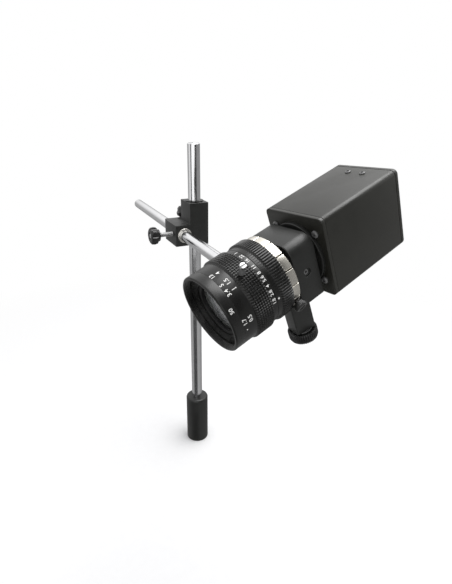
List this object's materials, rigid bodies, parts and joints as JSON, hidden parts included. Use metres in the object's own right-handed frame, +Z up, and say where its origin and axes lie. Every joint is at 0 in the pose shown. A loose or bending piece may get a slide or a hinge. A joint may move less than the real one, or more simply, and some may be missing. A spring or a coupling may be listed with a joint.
{
  "type": "copy camera head on an adjustable arm and post",
  "caption": "Tilting, panning box camera with a manual focus lens, on a cross rod clamped to an upright post in a round foot socket.",
  "frame": {"origin": "centre of the foot socket's underside, on the post's axis", "axes": "+Z up the post, +X along the cross rod towards the camera head; the lens looks mostly along -Y and down"},
  "size_m": [0.5046, 0.1864, 0.4614],
  "materials": {
    "black_anodised": "satin black anodised or painted metal",
    "black_plastic": "moulded black plastic with a fine grain",
    "chrome_rod": "ground and chromed round bar",
    "bright_nickel": "turned, nickel-bright ring with fine lathe lines",
    "steel": "bright zinc-plated steel",
    "black_steel": "black oxide steel",
    "brass": "turned brass",
    "body_paint": "satin black paint with a fine texture",
    "lens_black": "semi-gloss black anodised aluminium",
    "lens_inner": "dead matt black",
    "lens_glass": "coated optical glass",
    "circuit_board": "green solder-masked board",
    "sensor_ceramic": "ceramic sensor package",
    "iris_steel": "blackened thin spring steel",
    "lamp_red": "clear red plastic lamp",
    "socket_insulator": "black socket moulding"
  },
  "bodies": {
    "stand": {"foot_socket": "black_anodised", "foot_set_screws": "black_steel", "post": "chrome_rod"},
    "post_sleeve": {"post_bush": "brass"},
    "clamp": {"clamp_block": "black_anodised"},
    "post_lock_slide": {"post_lock_pad": "brass"},
    "post_lock": {"post_lock_screw": "steel", "post_lock_knob": "black_plastic"},
    "rod_lock_slide": {"rod_lock_pad": "brass"},
    "rod_lock": {"rod_lock_screw": "steel", "rod_lock_knob": "black_plastic"},
    "rod_sleeve": {"rod_bush": "bright_nickel", "rod_bush_clip": "steel"},
    "arm": {"cross_rod": "chrome_rod", "arm_block": "black_anodised"},
    "head": {"adapter_block": "black_anodised", "adapter_set_screw": "black_steel", "mount_neck": "black_anodised", "body_shell": "body_paint", "front_plate": "body_paint", "front_plate_screws": "black_steel", "rear_cover": "body_paint", "rear_cover_screws": "black_steel", "top_screws": "black_steel", "video_socket": "bright_nickel", "video_socket_pin": "brass", "power_socket": "socket_insulator", "pilot_lamp": "lamp_red", "sensor_board": "circuit_board", "board_pillars": "steel", "sensor_chip": "sensor_ceramic", "sensor_glass": "lens_glass", "main_board": "circuit_board", "back_focus_ring": "lens_black", "lens_mount_ring": "bright_nickel", "mount_grip_ring": "lens_black", "fixed_barrel": "lens_black"},
    "camera_knob_slide": {"camera_knob_washer": "black_steel"},
    "camera_knob_turner": {"camera_screw": "steel", "camera_knob": "black_plastic"},
    "mount_screw": {"mount_thumb_screw": "lens_black"},
    "aperture": {"aperture_ring": "lens_black"},
    "optics": {"lens_cell": "lens_inner", "front_rim": "lens_black", "front_glass": "lens_glass", "glass_retaining_ring": "lens_inner", "rear_glass": "lens_glass", "iris_plate": "lens_inner"},
    "focus": {"focus_ring": "lens_black", "focus_screw_collar": "black_steel"},
    "focus_lock": {"focus_lock_screw": "steel"},
    "blade_1": {"iris_blade_1": "iris_steel"},
    "blade_2": {"iris_blade_2": "iris_steel"},
    "blade_3": {"iris_blade_3": "iris_steel"},
    "blade_4": {"iris_blade_4": "iris_steel"},
    "blade_5": {"iris_blade_5": "iris_steel"}
  },
  "joints": [
    {"name": "height_slide", "type": "slide", "parent": "stand", "child": "post_sleeve", "axis": [0, 0, 1], "range_m": [-0.24, 0.06]},
    {"name": "post_swivel", "type": "hinge", "parent": "post_sleeve", "child": "clamp", "pos_m": [0, 0, 0.36], "axis": [0, 0, 1], "continuous": true},
    {"name": "post_lock_travel", "type": "slide", "parent": "clamp", "child": "post_lock_slide", "axis": [-1, 0, 0], "range_m": [0, 0.002]},
    {"name": "post_lock_turn", "type": "hinge", "parent": "post_lock_slide", "child": "post_lock", "pos_m": [-0.03, 0, 0.366], "axis": [-1, 0, 0], "range_deg": [0, 720]},
    {"name": "rod_lock_travel", "type": "slide", "parent": "clamp", "child": "rod_lock_slide", "axis": [0, -1, 0], "range_m": [0, 0.0015]},
    {"name": "rod_lock_turn", "type": "hinge", "parent": "rod_lock_slide", "child": "rod_lock", "pos_m": [0.002, -0.045, 0.3481], "axis": [0, -1, 0], "range_deg": [0, 540]},
    {"name": "arm_tilt", "type": "hinge", "parent": "clamp", "child": "rod_sleeve", "pos_m": [0, -0.0209, 0.3481], "axis": [1, 0, 0], "range_deg": [-65, 69.5]},
    {"name": "arm_reach", "type": "slide", "parent": "rod_sleeve", "child": "arm", "axis": [1, 0, 0], "range_m": [-0.12, 0.15]},
    {"name": "head_pan", "type": "hinge", "parent": "arm", "child": "head", "pos_m": [0.2672, -0.0209, 0.3481], "axis": [0, -0.3492, 0.937], "range_deg": [-90, 90]},
    {"name": "camera_knob_travel", "type": "slide", "parent": "head", "child": "camera_knob_slide", "axis": [0, 0.3492, -0.937], "range_m": [0, 0.003]},
    {"name": "camera_knob_turn", "type": "hinge", "parent": "camera_knob_slide", "child": "camera_knob_turner", "pos_m": [0.2672, -0.0209, 0.3481], "axis": [0, 0.3492, -0.937], "range_deg": [0, 851]},
    {"name": "mount_screw_turn", "type": "hinge", "parent": "head", "child": "mount_screw", "pos_m": [0.29482, -0.04516, 0.37578], "axis": [0.8385, 0.3039, -0.4523], "range_deg": [0, 360]},
    {"name": "aperture_turn", "type": "hinge", "parent": "head", "child": "aperture", "pos_m": [0.27276, -0.07291, 0.38234], "axis": [0.1495, -0.9265, -0.3453], "range_deg": [-88, 0]},
    {"name": "focus_travel", "type": "slide", "parent": "head", "child": "optics", "axis": [0.1495, -0.9265, -0.3453], "range_m": [0, 0.0056]},
    {"name": "focus_turn", "type": "hinge", "parent": "optics", "child": "focus", "pos_m": [0.27436, -0.08278, 0.37866], "axis": [0.1495, -0.9265, -0.3453], "range_deg": [0, 95]},
    {"name": "focus_lock_turn", "type": "hinge", "parent": "focus", "child": "focus_lock", "pos_m": [0.29257, -0.08912, 0.40357], "axis": [0.5784, -0.2013, 0.7905], "range_deg": [0, 360]},
    {"name": "blade_1_turn", "type": "hinge", "parent": "optics", "child": "blade_1", "pos_m": [0.2873, -0.07716, 0.38076], "axis": [0.1495, -0.9265, -0.3453], "range_deg": [0, 38.5]},
    {"name": "blade_2_turn", "type": "hinge", "parent": "optics", "child": "blade_2", "pos_m": [0.27799, -0.08333, 0.39236], "axis": [0.1495, -0.9265, -0.3453], "range_deg": [0, 38.5]},
    {"name": "blade_3_turn", "type": "hinge", "parent": "optics", "child": "blade_3", "pos_m": [0.26289, -0.08403, 0.38679], "axis": [0.1495, -0.9265, -0.3453], "range_deg": [0, 38.5]},
    {"name": "blade_4_turn", "type": "hinge", "parent": "optics", "child": "blade_4", "pos_m": [0.26294, -0.07871, 0.37159], "axis": [0.1495, -0.9265, -0.3453], "range_deg": [0, 38.5]},
    {"name": "blade_5_turn", "type": "hinge", "parent": "optics", "child": "blade_5", "pos_m": [0.27813, -0.07512, 0.36762], "axis": [0.1495, -0.9265, -0.3453], "range_deg": [0, 38.5]}
  ],
  "couplings": [
    {"joint": "post_lock_turn", "follows": "post_lock_travel", "rad_per_m": 6283.2},
    {"joint": "rod_lock_turn", "follows": "rod_lock_travel", "rad_per_m": 6283.2},
    {"joint": "camera_knob_turn", "follows": "camera_knob_travel", "rad_per_m": 4947.4},
    {"joint": "focus_turn", "follows": "focus_travel", "rad_per_m": 296.08},
    {"joint": "blade_1_turn", "follows": "aperture_turn", "ratio": -0.4375},
    {"joint": "blade_2_turn", "follows": "aperture_turn", "ratio": -0.4375},
    {"joint": "blade_3_turn", "follows": "aperture_turn", "ratio": -0.4375},
    {"joint": "blade_4_turn", "follows": "aperture_turn", "ratio": -0.4375},
    {"joint": "blade_5_turn", "follows": "aperture_turn", "ratio": -0.4375}
  ]
}
